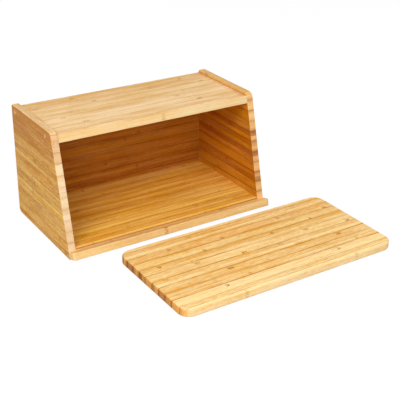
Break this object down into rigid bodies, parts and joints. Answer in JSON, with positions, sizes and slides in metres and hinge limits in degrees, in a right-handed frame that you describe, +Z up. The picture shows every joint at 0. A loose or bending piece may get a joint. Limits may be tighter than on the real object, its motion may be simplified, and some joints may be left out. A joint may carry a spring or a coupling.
{
  "type": "bread box",
  "caption": "Bamboo bread box with a sloping open front, a ledge along its foot, and a loose board that closes it as a lid and serves as a cutting board.",
  "frame": {"origin": "on the table, below the middle of the box that bounds the case and the board together", "axes": "+X to the right along the width, seen from the open front; +Y from the open front to the back; +Z up"},
  "size_m": [0.4678, 0.4388, 0.1975],
  "materials": {
    "bamboo_sides": "satin lacquer",
    "bamboo_roof": "satin lacquer",
    "bamboo_floor": "satin lacquer",
    "bamboo_back": "satin lacquer",
    "bamboo_ledge": "satin lacquer",
    "bamboo_board": "satin oil",
    "bamboo_dowels": "satin"
  },
  "bodies": {
    "case": {"left_side_panel": "bamboo_sides", "right_side_panel": "bamboo_sides", "roof_panel": "bamboo_roof", "floor_panel": "bamboo_floor", "back_panel": "bamboo_back", "lid_ledge": "bamboo_ledge", "roof_dowels": "bamboo_dowels", "floor_dowels": "bamboo_dowels", "ledge_dowels": "bamboo_dowels"},
    "board": {"cutting_board": "bamboo_board"}
  },
  "joints": [
    {"name": "board_lift", "type": "slide", "parent": "case", "child": "board", "axis": [0, 0, 1], "range_m": [0, 0.25]}
  ]
}
